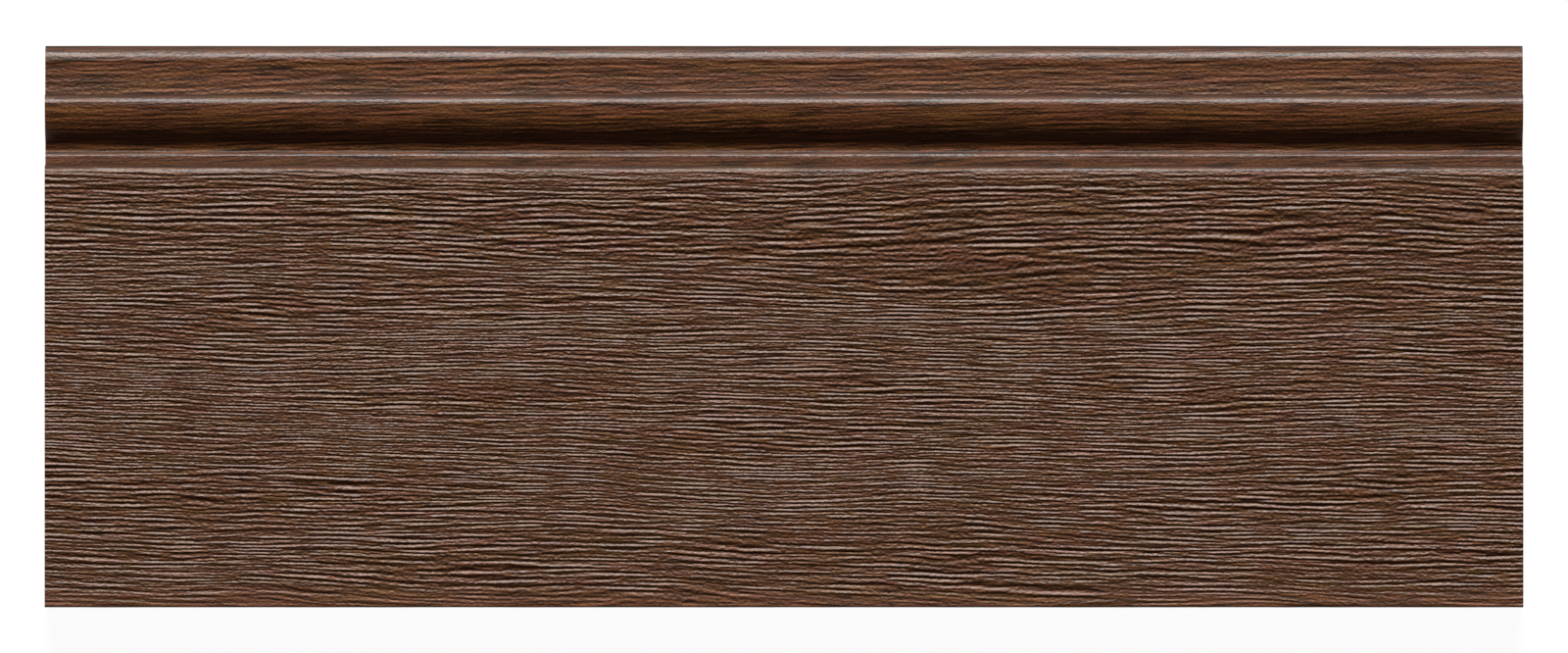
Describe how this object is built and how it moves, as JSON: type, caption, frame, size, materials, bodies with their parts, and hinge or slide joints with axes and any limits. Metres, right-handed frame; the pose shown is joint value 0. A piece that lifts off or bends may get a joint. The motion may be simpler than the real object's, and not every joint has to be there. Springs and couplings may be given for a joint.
{
  "type": "skirting board",
  "caption": "Straight moulded skirting board with a brushed dark wood face, a stepped bead and cove along its top edge and a flat back, cut square at both ends.",
  "frame": {"origin": "middle of the flat back face, half way along the length and half way up the height", "axes": "+X along the length, +Y up the height to the moulded top edge, +Z out of the wall face towards the room; the board lies on its back"},
  "size_m": [0.25, 0.095, 0.013],
  "materials": {
    "brushed_dark_wood": "brushed, dark walnut brown, satin"
  },
  "bodies": {
    "root": {"skirting_board": "brushed_dark_wood"}
  },
  "joints": []
}
